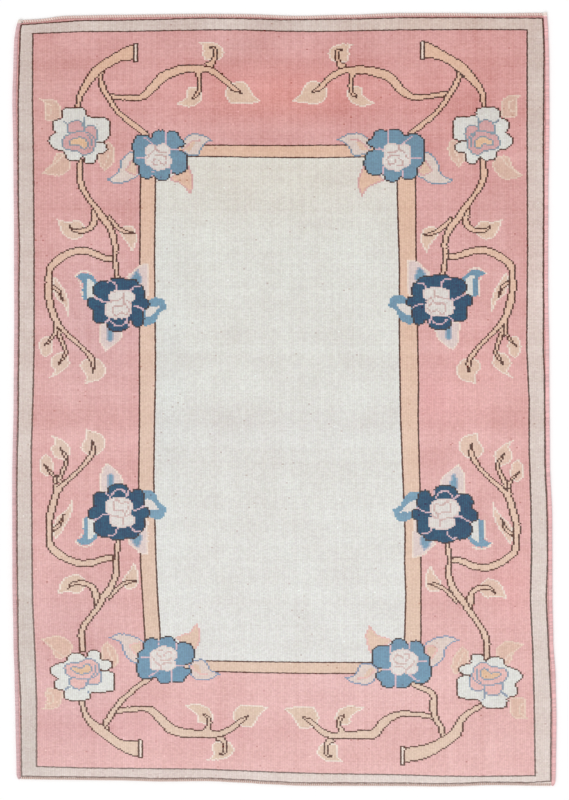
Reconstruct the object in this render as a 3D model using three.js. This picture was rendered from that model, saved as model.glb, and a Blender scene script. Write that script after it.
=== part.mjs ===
// A hand-knotted wool pile rug, about 1.32 m wide and 1.90 m long, lying flat with its pile up.
// Millimetres, +Z up, X across the width and Y along the warps. The origin is the middle of the
// underside. The knotted cloth is one flat panel. A wool-wrapped side cord runs down each long edge,
// and a narrow whip-stitched binding closes the warps at each end, between the two cords.
// None of the four edges is straight, as in any rug woven by hand on a village loom.
import * as THREE from "three";

// The rug at its mean size
const RUG_WIDTH = 1322;
const RUG_LENGTH = 1896;

// The knotted panel: a woven foundation with sheared pile on it
const FOUNDATION = 3;
const PILE = 5;
const PANEL_THICKNESS = FOUNDATION + PILE;
const EDGE_ROUNDING = 1.5;
const EDGE_ROUNDING_STEPS = 2;

// The side cords: a bundle of edge warps wrapped in pile wool
const CORD_WIDTH = 9.5;
const CORD_HEIGHT = 8;
const CORD_FLAT = 5; // width of the underside that lies on the floor
const CORNER_ROUND = 13; // height over which a cord's outer side is rounded off at a lower corner
const CORNER_STATIONS = [0, 0.08, 0.25, 0.5]; // shares of that height where the rounding is drawn
const CORNER_TIP = 0.25; // share of the cord's width that is left at its very tip

// The end bindings: the last web of wefts, folded and overcast
const UPPER_BINDING_WIDTH = 8;
const LOWER_BINDING_WIDTH = 6.5;
const BINDING_HEIGHT = 5.5;
const BINDING_FLAT = 4.5;

// Sewn pieces lie against the panel with this much room
const SEAM_GAP = 0.5;
const PANEL_INSET = CORD_WIDTH + SEAM_GAP; // of the panel's long sides from the finished edge
const STEP_LENGTH = 26; // between two stations of a wavy edge
const CORNER_ROUNDS = 4; // enough to settle where two nearly straight edges cross

// The oval section of a wrapped edge, above its flat underside
const OVAL_POINTS = 7;
const OVAL_DIP = Math.PI / 7; // how far it runs on below its widest place, on each side

// How far each finished edge strays outwards from the mean rectangle, along the edge.
// The long edges are read from the lower end to the upper end, the short ones from left to right.
const LEFT_EDGE = [
  { along: -948, out: -8 },
  { along: -912, out: -7.5 },
  { along: -789, out: -5 },
  { along: -691, out: -3 },
  { along: -593, out: 0 },
  { along: -445, out: 2.5 },
  { along: -199, out: 3 },
  { along: -3, out: -0.5 },
  { along: 194, out: -2 },
  { along: 391, out: -1.5 },
  { along: 587, out: 0 },
  { along: 740, out: 2.5 },
  { along: 833, out: 0 },
  { along: 890, out: -2 },
  { along: 912, out: -6 },
  { along: 935, out: -12.5 },
];
const RIGHT_EDGE = [
  { along: -948, out: 12.5 },
  { along: -912, out: 13.5 },
  { along: -789, out: 15 },
  { along: -691, out: 13 },
  { along: -593, out: 7 },
  { along: -494, out: 5 },
  { along: -298, out: 4.5 },
  { along: -150, out: -1.5 },
  { along: 96, out: -3 },
  { along: 292, out: -5.5 },
  { along: 489, out: -5 },
  { along: 685, out: -2.5 },
  { along: 833, out: -3 },
  { along: 900, out: -5 },
  { along: 948, out: -8 },
];
const UPPER_EDGE = [
  { along: -646, out: -15 },
  { along: -602, out: -12.5 },
  { along: -528, out: -4 },
  { along: -408, out: -2 },
  { along: -213, out: 0.5 },
  { along: -103, out: 0 },
  { along: 45, out: -4.5 },
  { along: 155, out: -2 },
  { along: 290, out: 2.5 },
  { along: 438, out: 2.5 },
  { along: 497, out: 1.5 },
  { along: 647, out: 3 },
];
const LOWER_EDGE = [
  { along: -646, out: -11.5 },
  { along: -565, out: -10 },
  { along: -408, out: -8.5 },
  { along: -295, out: -5.5 },
  { along: -181, out: -6.5 },
  { along: -103, out: -3 },
  { along: -29, out: 1.5 },
  { along: 45, out: 5 },
  { along: 271, out: 5.5 },
  { along: 400, out: 7 },
  { along: 520, out: 3.5 },
  { along: 647, out: 5 },
];

// Colours of the yarns, all of them dull
const PINK_WOOL = 0xd9a3a0;
const SELVEDGE_WOOL = 0xd6a9a6;
const WHIP_YARN = 0xd8cdc4;
const PILE_ROUGHNESS = 0.95;
const YARN_ROUGHNESS = 0.9;

// The stray of an edge at a place along it, eased from each row of its table to the next
function strayAt(edge, along) {
  const last = edge.length - 2;
  const row = edge.findIndex((station, i) => i > 0 && along <= station.along);
  const from = row < 0 ? last : row - 1;
  const span = edge[from + 1].along - edge[from].along;
  const share = THREE.MathUtils.smoothstep((along - edge[from].along) / span, 0, 1);
  return THREE.MathUtils.lerp(edge[from].out, edge[from + 1].out, share);
}

// A point of each finished edge, moved inwards by inset
const leftPoint = (y, inset) =>
  new THREE.Vector2(-RUG_WIDTH / 2 - strayAt(LEFT_EDGE, y) + inset, y);
const rightPoint = (y, inset) =>
  new THREE.Vector2(RUG_WIDTH / 2 + strayAt(RIGHT_EDGE, y) - inset, y);
const upperPoint = (x, inset) =>
  new THREE.Vector2(x, RUG_LENGTH / 2 + strayAt(UPPER_EDGE, x) - inset);
const lowerPoint = (x, inset) =>
  new THREE.Vector2(x, -RUG_LENGTH / 2 - strayAt(LOWER_EDGE, x) + inset);

// The places at which an edge is drawn: its two ends, and each whole step of the rug between them.
// Pieces that lie side by side are so drawn at the same places.
function places(from, to) {
  const room = STEP_LENGTH / 4;
  const first = Math.ceil((Math.min(from, to) + room) / STEP_LENGTH);
  const last = Math.floor((Math.max(from, to) - room) / STEP_LENGTH);
  const between = Array.from({ length: last - first + 1 }, (_, i) => (first + i) * STEP_LENGTH);
  return [from, ...(from < to ? between : between.reverse()), to];
}

// Where two edges of the rug cross, both moved inwards, found by following each in turn
function corner(sidePoint, endPoint, sideInset, endInset) {
  const place = new THREE.Vector2(0, endPoint(0, endInset).y);
  for (let round = 0; round < CORNER_ROUNDS; round += 1) {
    place.x = sidePoint(place.y, sideInset).x;
    place.y = endPoint(place.x, endInset).y;
  }
  return place;
}

// The knotted panel's outline, anticlockwise from its lower left corner
function panelOutline() {
  const upperInset = UPPER_BINDING_WIDTH + SEAM_GAP;
  const lowerInset = LOWER_BINDING_WIDTH + SEAM_GAP;
  const lowerLeft = corner(leftPoint, lowerPoint, PANEL_INSET, lowerInset);
  const lowerRight = corner(rightPoint, lowerPoint, PANEL_INSET, lowerInset);
  const upperRight = corner(rightPoint, upperPoint, PANEL_INSET, upperInset);
  const upperLeft = corner(leftPoint, upperPoint, PANEL_INSET, upperInset);
  const lower = places(lowerLeft.x, lowerRight.x).map((x) => lowerPoint(x, lowerInset));
  const right = places(lowerRight.y, upperRight.y).map((y) => rightPoint(y, PANEL_INSET));
  const upper = places(upperRight.x, upperLeft.x).map((x) => upperPoint(x, upperInset));
  const left = places(upperLeft.y, lowerLeft.y).map((y) => leftPoint(y, PANEL_INSET));
  return [lower, right, upper, left].flatMap((edge) => edge.slice(0, -1));
}

function knottedPanel() {
  const geometry = new THREE.ExtrudeGeometry(new THREE.Shape(panelOutline()), {
    depth: PANEL_THICKNESS - 2 * EDGE_ROUNDING,
    steps: 1,
    bevelEnabled: true,
    bevelThickness: EDGE_ROUNDING,
    bevelSize: EDGE_ROUNDING,
    bevelOffset: -EDGE_ROUNDING,
    bevelSegments: EDGE_ROUNDING_STEPS,
  });
  return geometry.translate(0, 0, EDGE_ROUNDING);
}

// The section of a wrapped edge: an oval on the floor, its lower side cut off flat
function wrappedSection(width, height, flat) {
  const points = [new THREE.Vector2(-flat / 2, 0), new THREE.Vector2(flat / 2, 0)];
  for (let place = 0; place < OVAL_POINTS; place += 1) {
    const angle = (place / (OVAL_POINTS - 1)) * (Math.PI + 2 * OVAL_DIP) - OVAL_DIP;
    points.push(
      new THREE.Vector2((Math.cos(angle) * width) / 2, ((1 + Math.sin(angle)) * height) / 2),
    );
  }
  return new THREE.Shape(points);
}

// A straight bar of the section laid along an edge, with its stations at the given places.
// pointAt gives the rug's point at a place along the edge and an inset from it, and facing, 1 or -1,
// keeps the bar's faces pointing outwards.
function wrappedEdge(section, width, stations, facing, pointAt) {
  const steps = stations.length - 1;
  const bar = new THREE.ExtrudeGeometry(section, { depth: steps, steps, bevelEnabled: false });
  const position = bar.attributes.position;
  for (let i = 0; i < position.count; i += 1) {
    const along = stations[Math.round(position.getZ(i))];
    const point = pointAt(along, width / 2 + facing * position.getX(i));
    position.setXYZ(i, point.x, point.y, position.getY(i));
  }
  bar.computeVertexNormals();
  return bar;
}

// A side cord, the whole length of its edge, with its outer side rounded off at the lower corner
function sideCord(sidePoint, facing) {
  const bottom = corner(sidePoint, lowerPoint, CORD_WIDTH / 2, 0).y;
  const top = corner(sidePoint, upperPoint, CORD_WIDTH / 2, 0).y;
  const panelTop = corner(sidePoint, upperPoint, PANEL_INSET, UPPER_BINDING_WIDTH + SEAM_GAP).y;
  const rounded = CORNER_STATIONS.map((share) => bottom + share * CORNER_ROUND);
  const stations = [...rounded, ...places(bottom + CORNER_ROUND, panelTop), top];
  const section = wrappedSection(CORD_WIDTH, CORD_HEIGHT, CORD_FLAT);
  return wrappedEdge(section, CORD_WIDTH, stations, facing, (y, inset) => {
    const rise = Math.min((y - bottom) / CORNER_ROUND, 1);
    const share = Math.max(Math.sqrt(1 - (1 - rise) ** 2), CORNER_TIP);
    return sidePoint(y, CORD_WIDTH - (CORD_WIDTH - inset) * share);
  });
}

// An end binding, between the two side cords
function endBinding(endPoint, width, facing) {
  const clear = CORD_WIDTH + 2 * SEAM_GAP;
  const left = corner(leftPoint, endPoint, clear, width / 2).x;
  const right = corner(rightPoint, endPoint, clear, width / 2).x;
  const section = wrappedSection(width, BINDING_HEIGHT, BINDING_FLAT);
  return wrappedEdge(section, width, places(left, right), facing, endPoint);
}

function cloth(color, roughness) {
  return new THREE.MeshStandardMaterial({ color, roughness, metalness: 0 });
}

function piece(name, geometry, material) {
  const mesh = new THREE.Mesh(geometry, material);
  mesh.name = name;
  return mesh;
}

const rug = new THREE.Group();
const pileWool = cloth(PINK_WOOL, PILE_ROUGHNESS);
const cordWool = cloth(SELVEDGE_WOOL, YARN_ROUGHNESS);
const whipYarn = cloth(WHIP_YARN, YARN_ROUGHNESS);
rug.add(piece("knotted_panel", knottedPanel(), pileWool));
rug.add(piece("side_cord_left", sideCord(leftPoint, -1), cordWool));
rug.add(piece("side_cord_right", sideCord(rightPoint, 1), cordWool));
rug.add(piece("end_binding_upper", endBinding(upperPoint, UPPER_BINDING_WIDTH, -1), whipYarn));
rug.add(piece("end_binding_lower", endBinding(lowerPoint, LOWER_BINDING_WIDTH, 1), whipYarn));

// The origin goes to the middle of the finished outline, on the floor
const outline = new THREE.Box3().setFromObject(rug, true);
const middle = outline.getCenter(new THREE.Vector3());
rug.position.set(-middle.x, -middle.y, 0);

export default rug;
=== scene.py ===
import math

import bpy
import numpy as np
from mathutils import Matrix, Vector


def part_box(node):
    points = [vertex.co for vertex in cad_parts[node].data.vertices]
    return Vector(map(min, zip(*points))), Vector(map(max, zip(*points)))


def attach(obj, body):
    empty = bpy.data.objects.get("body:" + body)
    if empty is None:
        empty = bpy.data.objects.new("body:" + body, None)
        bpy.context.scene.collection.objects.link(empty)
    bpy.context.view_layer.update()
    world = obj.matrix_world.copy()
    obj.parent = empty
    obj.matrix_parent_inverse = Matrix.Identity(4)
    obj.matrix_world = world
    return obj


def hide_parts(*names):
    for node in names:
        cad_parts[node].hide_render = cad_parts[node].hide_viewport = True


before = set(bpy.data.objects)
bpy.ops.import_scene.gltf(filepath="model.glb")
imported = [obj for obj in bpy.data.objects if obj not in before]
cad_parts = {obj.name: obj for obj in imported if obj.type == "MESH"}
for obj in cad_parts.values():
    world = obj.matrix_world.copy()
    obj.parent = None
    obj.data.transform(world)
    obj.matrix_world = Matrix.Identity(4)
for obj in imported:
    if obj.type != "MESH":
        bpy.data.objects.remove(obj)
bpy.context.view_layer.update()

# A hand-knotted wool rug lying flat. The chart below is in millimetres, as a weaver would measure it on
# the finished rug. Everything in Blender is in metres.
MM = 0.001

# The knots: columns from the left side cord, rows from the lower end
COLUMNS = 298
ROWS = 548
KNOT_WIDTH = 4.4
KNOT_HEIGHT = 3.44

# The lines of the chart, each one knot wide, by the column or row that they fill
EDGE_LEFT, EDGE_RIGHT = 1, 296
EDGE_LOWER, EDGE_UPPER = 1, 546
BAND_LEFT, BAND_RIGHT = 10, 287
BAND_LOWER, BAND_UPPER = 9, 538
FRAME_LEFT, FRAME_RIGHT = (69, 78), (215, 225)
FRAME_LOWER, FRAME_UPPER = (80, 88), (448, 456)

# Where the lines wander: (place along the line, place across it), in mm from the rug's middle
LINES = {
    "left edge": [(-935, -646), (-740, -648), (-620, -654), (-370, -657), (-245, -658), (0, -656),
                  (125, -654), (245, -653), (370, -651), (490, -654), (740, -654), (850, -651), (935, -648)],
    "left band": [(-920, -609), (-740, -609), (-620, -613), (-490, -619), (-245, -621), (-125, -622),
                  (0, -618), (125, -615), (370, -615), (615, -617), (740, -619), (920, -618)],
    "left outer": [(-669, -340), (-578, -343), (-492, -348), (-406, -353), (-197, -358), (-50, -356),
                   (147, -356), (356, -355), (503, -354), (626, -352)],
    "left inner": [(-669, -303), (-578, -305), (-492, -311), (-406, -315), (-197, -321), (-50, -319),
                   (40, -317), (147, -317), (356, -319), (503, -317), (626, -317)],
    "right inner": [(-669, 295), (-578, 296), (-480, 299), (-406, 296), (-330, 297), (-197, 292), (-50, 286),
                    (147, 283), (330, 283), (503, 278), (626, 277)],
    "right outer": [(-669, 335), (-578, 336), (-406, 336), (-197, 333), (-50, 329), (48, 330), (147, 328),
                    (356, 324), (503, 323), (626, 322)],
    "right band": [(-920, 617), (-740, 614), (-620, 611), (-490, 605), (-370, 608), (-245, 606), (-125, 602),
                   (0, 602), (125, 596), (370, 598), (620, 597), (920, 597)],
    "right edge": [(-935, 655), (-740, 656), (-620, 650), (-490, 644), (-370, 648), (-245, 645), (-125, 642),
                   (0, 642), (125, 637), (370, 638), (620, 637), (935, 639)],
    "upper edge": [(-640, 922), (-500, 932), (-400, 933), (-305, 935), (-205, 938), (-105, 937), (-10, 934),
                   (90, 935), (185, 936), (285, 939), (480, 939), (650, 938)],
    "upper band": [(-620, 900), (-500, 905), (-400, 905), (-305, 907), (-205, 909), (-105, 909), (-10, 906),
                   (90, 905), (185, 907), (285, 909), (480, 910), (610, 909)],
    "upper outer": [(-318, 626), (-195, 626), (-60, 625), (14, 625), (137, 626), (321, 626)],
    "upper inner": [(-318, 598), (-195, 598), (-60, 596), (88, 595), (200, 597), (284, 597)],
    "lower inner": [(-305, -640), (-219, -641), (-133, -643), (14, -645), (162, -646), (296, -646)],
    "lower outer": [(-342, -666), (-170, -668), (-60, -671), (90, -673), (200, -673), (333, -673)],
    "lower band": [(-620, -901), (-500, -905), (-400, -906), (-205, -908), (-105, -912), (-10, -916),
                   (90, -919), (285, -922), (385, -925), (480, -926), (560, -925), (620, -924)],
    "lower edge": [(-640, -926), (-500, -930), (-300, -932), (-205, -934), (-105, -938), (-10, -941),
                   (90, -945), (285, -948), (385, -949), (480, -946), (580, -943), (650, -938)],
}

# The wools: each one's colour at the rug's upper end and at its lower end, which is paler
WOOLS = {
    "brown": ((88, 58, 50), (112, 86, 78)),
    "umber": ((98, 70, 62), (140, 122, 116)),
    "pink": ((214, 160, 157), (233, 187, 184)),
    "beige": ((210, 192, 184), (226, 211, 204)),
    "peach": ((221, 181, 157), (227, 201, 183)),
    "ivory": ((219, 218, 210), (229, 228, 225)),
    "white": ((214, 211, 205), (227, 227, 222)),
    "tan": ((217, 185, 164), (226, 200, 181)),
    "cream": ((228, 208, 195), (240, 225, 214)),
    "faint": ((211, 175, 159), (228, 193, 177)),
    "straw": ((222, 196, 180), (234, 208, 192)),
    "navy": ((53, 82, 108), (66, 95, 120)),
    "blue": ((112, 142, 161), (122, 156, 180)),
    "sky": ((106, 141, 163), (138, 170, 191)),
    "haze": ((164, 168, 182), (178, 184, 198)),
    "rose": ((203, 156, 156), (236, 193, 187)),
    "mauve": ((204, 172, 182), (216, 188, 196)),
    "slate": ((124, 143, 159), (143, 158, 184)),
    "ash": ((132, 146, 155), (152, 164, 182)),
    "vein": ((192, 160, 156), (218, 194, 189)),
    "apricot": ((220, 181, 149), (228, 192, 162)),
    "blush": ((215, 199, 190), (227, 208, 200)),
    "petal": ((215, 208, 202), (230, 224, 220)),
    "lilac": ((216, 196, 192), (228, 211, 207)),
    "ink": ((66, 60, 62), (88, 82, 84)),
}
WOOL = {name: number for number, name in enumerate(WOOLS)}
# How strongly uneven dyeing shows in each wool; in the others it is UNEVEN_USUAL
UNEVEN = {"pink": 1.0, "beige": 0.9, "ivory": 0.6}
UNEVEN_USUAL = 0.5
UNEVEN_FADE = (0.72, 1.1)  # times as strong at the lower end and at the upper end
# Where a wool's dye lies deeper or paler: its middle across and along the rug, how far it reaches each
# way, all in mm, and what it adds to red, green and blue there
WASHES = {
    "umber": [(640, 200, 120, 900, -12, -12, -12), (620, -520, 110, 420, -12, -12, -12)],
    "pink": [(15, 760, 300, 75, 3, -10, -12), (385, 610, 200, 130, -2, -6, -6),
             (-465, 195, 150, 160, -2, 4, 6), (470, 30, 100, 180, 7, 5, 5), (370, 0, 55, 70, 1, -5, -3),
             (-520, -660, 130, 230, -7, -6, -4), (160, -700, 210, 80, 5, 9, 10),
             (480, 800, 150, 160, -1, -6, -7), (-350, -810, 300, 45, -3, -6, -4),
             (610, 0, 40, 700, -1, -3, -4), (0, 735, 150, 45, -1, -3, -5), (-130, 865, 90, 35, 0, 4, 4),
             (-590, 710, 50, 150, -4, -3, -5), (555, -465, 50, 90, 2, -5, -4)],
    "beige": [(-630, -600, 90, 350, -11, -8, -8), (-630, 650, 90, 260, -5, -4, -4),
              (622, 310, 90, 190, 9, 6, 6), (-320, -925, 330, 40, -5, -7, -6),
              (380, 925, 230, 40, 2, -2, -5), (625, 760, 60, 180, -3, -5, -6),
              (-640, -890, 80, 90, -7, -6, -6), (-640, 920, 50, 40, 6, 9, 9),
              (-130, 925, 50, 40, 6, 7, 7)],
    "ivory": [(0, 560, 420, 120, -1, -5, -8), (240, 575, 90, 80, -2, -5, -4), (0, -75, 420, 60, -2, -3, -2),
              (-290, 50, 60, 400, -3, -2, -1)],
    "peach": [(-300, 60, 600, 450, 0, 3, 7), (500, -150, 400, 600, 4, 3, 3)],
    "tan": [(-500, 60, 600, 450, 0, 2, 7), (550, -300, 400, 500, 4, 0, 3)],
}

# Where each landmark of the border lies, in mm out and up from the rug's middle, in the four corners:
# upper right, upper left, lower right, lower left. The chart is drawn for the upper left.
LANDMARKS = {
    "cut end": ((342, 857), (365, 852), (291, 873), (355, 856)),
    "fork": ((428, 813), (451, 808), (391, 823), (439, 813)),
    "bough foot": ((481, 759), (497, 751), (452, 774), (486, 773)),
    "second fork": ((402, 754), (428, 746), (366, 782), (414, 766)),
    "shoot": ((367, 699), (401, 701), (368, 730), (375, 718)),
    "corner rose": ((272, 600), (306, 600), (289, 648), (293, 639)),
    "arm rise": ((283, 766), (325, 766), (243, 795), (306, 782)),
    "arm crest": ((187, 810), (232, 814), (162, 824), (212, 821)),
    "upper leaf": ((138, 850), (178, 855), (110, 864), (153, 859)),
    "hanging leaf": ((172, 752), (219, 749), (142, 783), (193, 780)),
    "arm leaf": ((76, 757), (114, 756), (56, 783), (96, 780)),
    "white rose": ((488, 651), (503, 651), (503, 694), (495, 679)),
    "stem start": ((488, 589), (500, 587), (496, 634), (495, 614)),
    "first side twig": ((452, 478), (470, 476), (461, 524), (465, 516)),
    "first side leaf": ((501, 419), (524, 420), (513, 466), (526, 455)),
    "second side twig": ((414, 451), (436, 456), (427, 502), (434, 493)),
    "second side leaf": ((355, 398), (382, 402), (365, 445), (377, 438)),
    "loop start": ((404, 352), (424, 348), (414, 395), (421, 390)),
    "loop top": ((486, 368), (502, 367), (493, 413), (494, 403)),
    "loop side": ((562, 285), (580, 275), (572, 328), (579, 316)),
    "loop leaf": ((512, 214), (532, 201), (513, 248), (522, 241)),
    "loop fork": ((544, 192), (564, 189), (555, 233), (563, 222)),
    "outer leaf": ((566, 128), (586, 130), (573, 175), (586, 159)),
    "middle leaf": ((535, 90), (551, 90), (538, 135), (548, 121)),
    "last leaf": ((453, 70), (470, 71), (460, 111), (470, 104)),
    "navy rose": ((382, 242), (408, 236), (395, 283), (407, 278)),
    "faint leaf above": ((552, 721), (570, 712), (578, 760), (567, 733)),
    "faint leaf outside": ((551, 568), (558, 579), (552, 622), (561, 610)),
    "faint leaf inside": ((426, 599), (437, 588), (437, 632), (431, 620)),
}
DRAWN = 1  # the corner that the chart is drawn for
# Each rose: its middle out and up, its width and its height in mm, in the same four corners
ROSES = {
    "white": ((487, 652, 154, 144), (503, 651, 156, 143), (503, 694, 167, 138), (495, 680, 166, 128)),
    "corner": ((272, 600, 152, 130), (306, 600, 139, 125), (289, 648, 149, 123), (293, 639, 145, 117)),
    "navy": ((382, 242, 166, 133), (408, 236, 156, 130), (395, 283, 167, 138), (407, 278, 154, 136)),
}

# The vines: (out, up, width between the middles of the two outlines), in mm
BOUGH = [(360, 856, 37), (379, 853, 34), (409, 842, 24), (438, 826, 21), (462, 808, 23), (479, 787, 20),
         (494, 762, 16), (502, 746, 14), (508, 720, 12)]
SHOOT = [(449, 812, 14), (452, 789, 13), (446, 769, 14), (436, 749, 13), (420, 723, 12), (403, 702, 11),
         (380, 684, 12), (340, 653, 12)]
ARM = [(431, 746, 11), (404, 743, 11), (367, 742, 12), (347, 746, 15), (325, 766, 20), (301, 791, 22),
       (276, 804, 21), (249, 813, 20), (215, 815, 16), (188, 812, 14), (163, 799, 14), (143, 783, 12),
       (126, 766, 11), (106, 754, 2)]
UPPER_TWIG = [(188, 818, 20), (174, 833, 11), (170, 850, 10), (172, 863, 7), (183, 866, 2)]
HANGING_TWIG = [(213, 808, 17), (209, 791, 11), (209, 766, 10), (214, 751, 8), (224, 742, 3)]
STEM = [(500, 594, 12), (502, 565, 16), (503, 545, 17), (497, 523, 14), (483, 498, 12), (463, 471, 14),
        (448, 449, 16), (431, 427, 16), (421, 402, 15), (416, 378, 14), (416, 347, 12), (413, 319, 12),
        (410, 294, 12)]
FIRST_SIDE_TWIG = [(465, 469, 17), (467, 439, 16), (478, 422, 12), (497, 415, 11), (519, 418, 6),
                   (529, 429, 1)]
SECOND_SIDE_TWIG = [(436, 452, 10), (409, 423, 9), (389, 412, 7), (370, 410, 1)]
LOOP = [(420, 347, 12), (447, 350, 14), (473, 362, 16), (502, 367, 16), (532, 359, 16), (559, 341, 17),
        (576, 321, 17), (579, 292, 16), (579, 255, 17), (573, 225, 18), (564, 201, 16), (551, 179, 13),
        (527, 155, 9), (502, 133, 9), (482, 112, 11), (472, 98, 12), (470, 87, 10), (470, 78, 6),
        (471, 66, 0)]
OUTER_TWIG = [(565, 191, 9), (565, 164, 7), (576, 147, 6), (591, 132, 1)]
MIDDLE_TWIG = [(559, 171, 10), (546, 142, 10), (537, 117, 9), (544, 102, 6), (554, 88, 1)]
LOOP_TWIG = [(571, 279, 8), (554, 267, 7), (546, 243, 1)]
TWIG_CREASES = [[(561, 182), (544, 164)], [(560, 176), (559, 152)]]  # where the loop's last twigs part
CUT_END = [(371, 877), (371, 830), (358, 830), (358, 877)]
# In the lower right corner these two run another way, given as they lie there
OWN_WAY = 2
OWN_BOUGH = [(291, 875, 35), (341, 866, 33), (378, 850, 27), (408, 831, 25), (426, 812, 25), (434, 790, 17),
             (451, 772, 13), (484, 752, 12)]
OWN_SHOOT = [(392, 830, 15), (385, 805, 13), (373, 785, 13), (367, 764, 17), (367, 730, 17), (353, 715, 12),
             (325, 703, 11), (300, 691, 10)]

# The leaves: the tip first, then points round the body, in mm out and up
LEAVES = {
    "upper": [(215, 879), (173, 879), (148, 860), (158, 837), (185, 834), (200, 841), (201, 869)],
    "hanging": [(267, 727), (242, 744), (237, 766), (212, 769), (200, 751), (210, 729), (234, 719)],
    "arm": [(57, 732), (77, 751), (97, 781), (129, 778), (146, 756), (131, 729), (92, 727)],
    "first side": [(559, 444), (532, 438), (505, 440), (487, 415), (512, 393), (544, 407)],
    "second side": [(374, 361), (362, 393), (369, 424), (394, 428), (403, 407), (387, 385)],
    "loop": [(530, 198), (528, 238), (544, 277), (566, 302), (566, 257), (541, 230)],
    "outer": [(588, 102), (571, 117), (569, 144), (586, 157), (602, 142), (600, 117)],
    "middle": [(580, 53), (566, 71), (576, 90), (564, 112), (537, 116), (528, 88), (551, 66)],
    "last": [(489, 39), (489, 61), (502, 83), (487, 101), (458, 101), (438, 75), (451, 51)],
}
# Leaves in a wool close to the ground, with the mark drawn inside each
FAINT_LEAVES = [
    ([(602, 740), (568, 738), (551, 722), (553, 690), (588, 688), (590, 727)],
     [(584, 728), (572, 722), (575, 702), (588, 700)]),
    ([(599, 557), (573, 577), (559, 606), (532, 599), (524, 572), (551, 550)],
     [(586, 566), (560, 584), (545, 600)]),
    ([(441, 562), (421, 582), (416, 614), (433, 633), (455, 609), (455, 579)],
     [(442, 576), (432, 600), (430, 614)]),
]

# The roses, in mm from the middle of each. A petal is (out, up, half width, half height).
WHITE_SQUARE = [(13, 48, 32, 20), (-44, 14, 32, 31)]
WHITE_POINTED = [(46, -15, 33, 25)]
WHITE_PETALS = [(-45, -32, 25, 15), (-26, -52, 18, 21), (15, -44, 23, 21), (43, 22, 25, 18),
                (-1, -2, 54, 52)]
WHITE_NOTCH = [(-62, -17), (-41, -17)]
HEART_UPPER = [(32, 4), (33, 19), (28, 28), (18, 35), (7, 37), (-3, 34), (-10, 26), (-12, 14), (-12, 6),
               (8, 1)]
HEART_SIDE = [(-5, 14), (-18, 23), (-28, 24), (-39, 20), (-45, 9), (-45, -7), (-38, -16), (-15, -4)]
HEART_OUTER = [(-12, 10), (-28, 2), (-40, -15), (-37, -34), (-24, -48), (-8, -51), (4, -42), (24, -39),
               (41, -32), (45, -18), (38, -3), (22, 5), (4, 10)]
HEART_RING = [(-18, 2), (-27, -9), (-29, -21), (-26, -32)]
HEART_CORE = [(4, -24), (-2, -32), (-10, -36), (-18, -32), (-22, -23), (-19, -13), (-9, -6), (2, -4),
              (12, -7), (22, -11), (29, -19), (25, -27), (14, -27)]
HEART_VEINS = [[(-14, 45), (-10, 36), (-11, 14)], [(42, 36), (31, 28)]]

CORNER_PETALS = [(42, 21, 27, 32), (0, 38, 23, 26), (-31, 36, 21, 26), (-49, 31, 14, 11),
                 (-43, -16, 28, 31), (-6, -34, 23, 29), (31, -31, 22, 27), (39, -6, 29, 22),
                 (0, -1, 49, 44)]
CORNER_CENTRE = [(21, 12, 16, 17), (-7, 12, 20, 18), (18, -9, 20, 19), (-9, -13, 20, 21),
                 (4, -6, 26, 31)]
CORNER_DIVIDERS = [[(39, 45), (22, 33), (12, 23)], [(-16, 60), (-15, 28)], [(-22, 16), (-44, 16)],
                   [(59, -6), (34, -7)], [(17, -53), (17, -36)], [(-27, -45), (-25, -26)]]
CORNER_SWIRL = [[(10, 26), (10, 16), (22, 6), (29, -6)], [(10, 16), (0, 9), (-15, 9)],
                [(12, 1), (-12, -1), (-17, -11), (-12, -21), (-2, -18), (2, -11)],
                [(5, -23), (15, -23), (17, -14), (10, -7)]]
OUTER_LEAF = [(132, -58), (105, -43), (95, -11), (68, 9), (44, -35), (73, -62), (108, -69)]
OUTER_LEAF_PATCH = [(69, -10), (77, -22), (84, -37), (70, -45), (55, -45), (56, -22)]
END_LEAF = [(-132, 37), (-104, 52), (-74, 52), (-52, 26), (-67, 3), (-94, 1), (-109, 27)]
END_LEAF_PATCH = [(-88, 34), (-74, 34), (-60, 18), (-74, 12)]
END_LEAF_VEIN = [(-102, 38), (-79, 35), (-58, 14)]
FIELD_LEAF = [(-74, -97), (-84, -65), (-69, -23), (-45, -40), (-25, -58), (-57, -73)]

NAVY_ROUND = [(31, 34, 34, 25)]
NAVY_PETALS = [(1, 48, 24, 18), (-29, 41, 23, 21), (-48, 26, 18, 22), (-61, -1, 17, 14), (-47, -31, 18, 27),
               (1, -47, 29, 22), (44, -27, 22, 23), (55, 2, 23, 16), (-2, 1, 60, 47)]
NAVY_CENTRE = [(-8, 17, 32, 17), (0, -14, 34, 23)]
NAVY_DIVIDERS = [[(28, 54), (15, 54), (6, 45), (3, 31)], [(-53, 42), (-39, 42), (-31, 33)],
                 [(62, 17), (47, 11), (38, 5), (25, 4)], [(-36, -5), (-51, -9), (-63, -16)],
                 [(33, -48), (20, -36)], [(18, -41), (8, -53), (-7, -54), (-16, -48), (-21, -38)],
                 [(-21, -41), (-26, -55)]]
NAVY_SWIRL = [[(-12, 28), (-12, 16), (1, 9), (23, 5)],
              [(-12, 16), (-14, 1), (-7, -6), (11, -6), (13, -21), (6, -31), (-7, -22), (-21, -26),
               (-26, -14), (-16, 0)], [(-19, 9), (-31, 1)]]
HOOK_OUTER = [(107, 65), (95, 73), (80, 75), (65, 69), (52, 50), (62, 16), (87, 13), (88, 50), (94, 60)]
HOOK_OUTER_GAP = [(79, 63), (69, 60), (60, 49), (62, 16), (76, 15)]
HOOK_OUTER_LIGHT = [[(109, 66), (95, 77), (80, 79), (64, 74)], [(97, 58), (91, 47), (90, 14)]]
HOOK_INNER = [(-120, -12), (-110, 11), (-88, 14), (-68, -1), (-56, -41), (-68, -55), (-90, -45),
              (-102, -23)]
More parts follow.
